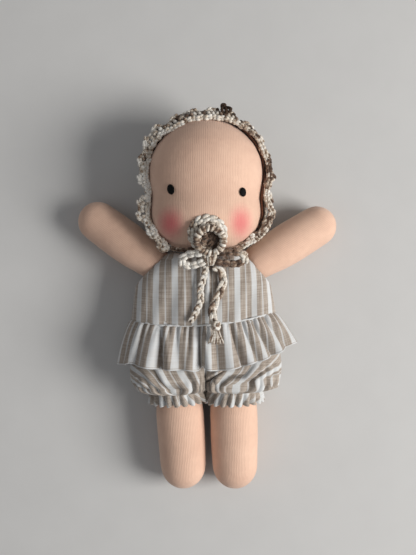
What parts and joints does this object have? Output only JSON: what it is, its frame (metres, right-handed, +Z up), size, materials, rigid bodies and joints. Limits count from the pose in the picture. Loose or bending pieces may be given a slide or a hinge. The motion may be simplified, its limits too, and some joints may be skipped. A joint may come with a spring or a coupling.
{
  "type": "waldorf doll",
  "caption": "Stuffed cloth baby doll lying on its back, with a jointed head and limbs, a crocheted bonnet tied under the chin, a crocheted dummy and a striped linen romper.",
  "frame": {"origin": "middle of the doll's underside, on the surface that it lies on", "axes": "+Y from the feet to the crown, +Z up out of the face, +X to the right of the picture, which is the doll's own left"},
  "size_m": [0.176, 0.2564, 0.0695],
  "materials": {
    "skin": "fine cotton knit",
    "wool": "carded wool",
    "yarn": "crocheted cotton yarn in cream and brown",
    "linen": "woven linen with white stripes",
    "thread": "brown sewing thread",
    "black": "black embroidery thread",
    "elastic": "covered elastic cord",
    "magnet": "nickelled magnet"
  },
  "bodies": {
    "torso": {"torso_skin": "skin", "torso_wool": "wool", "bodice": "linen", "peplum": "linen", "bloomers": "linen", "tie_tail_left": "yarn", "tie_tail_right": "yarn", "tail_knot": "yarn", "tail_tassel": "yarn"},
    "head": {"head_skin": "skin", "head_wool": "wool", "mouth_magnet": "magnet", "neck_thread": "thread", "eye_left": "black", "eye_right": "black", "bonnet": "yarn", "bonnet_edging": "yarn", "yarn_end": "thread", "tie_run_left": "yarn", "tie_run_right": "yarn", "bow_loop_left": "yarn", "bow_loop_right": "yarn", "bow_knot": "yarn"},
    "dummy": {"dummy_shield": "yarn", "dummy_magnet": "magnet"},
    "dummy_ring": {"dummy_ring": "yarn"},
    "arm_left": {"arm_skin_left": "skin", "arm_wool_left": "wool"},
    "arm_right": {"arm_skin_right": "skin", "arm_wool_right": "wool"},
    "leg_left": {"leg_skin_left": "skin", "leg_wool_left": "wool", "leg_elastic_left": "elastic"},
    "leg_right": {"leg_skin_right": "skin", "leg_wool_right": "wool", "leg_elastic_right": "elastic"}
  },
  "joints": [
    {"name": "neck_turn", "type": "hinge", "parent": "torso", "child": "head", "pos_m": [-0.00101, 0.0293, 0.03], "axis": [0, 1, 0], "range_deg": [-20, 20], "deforming": ["tie_tail_left", "tie_tail_right"]},
    {"name": "dummy_pull", "type": "slide", "parent": "head", "child": "dummy", "axis": [0, -0.342, 0.9397], "range_m": [0, 0.02]},
    {"name": "dummy_ring_fold", "type": "hinge", "parent": "dummy", "child": "dummy_ring", "pos_m": [0.00019, 0.04589, 0.06742], "axis": [-1, 0, 0], "range_deg": [0, 120]},
    {"name": "shoulder_left_swing", "type": "hinge", "parent": "torso", "child": "arm_left", "pos_m": [-0.03651, 0.0258, 0.0205], "axis": [0, 0, -1], "range_deg": [-51, 4]},
    {"name": "shoulder_right_swing", "type": "hinge", "parent": "torso", "child": "arm_right", "pos_m": [0.03449, 0.0258, 0.0205], "axis": [0, 0, 1], "range_deg": [-46.5, 8.5]},
    {"name": "hip_left_fold", "type": "hinge", "parent": "torso", "child": "leg_left", "pos_m": [-0.01951, -0.0592, 0.019], "axis": [-1, 0, 0], "range_deg": [0, 75], "deforming": ["bloomers"]},
    {"name": "hip_right_fold", "type": "hinge", "parent": "torso", "child": "leg_right", "pos_m": [0.01749, -0.0592, 0.019], "axis": [-1, 0, 0], "range_deg": [0, 75], "deforming": ["bloomers"]}
  ]
}
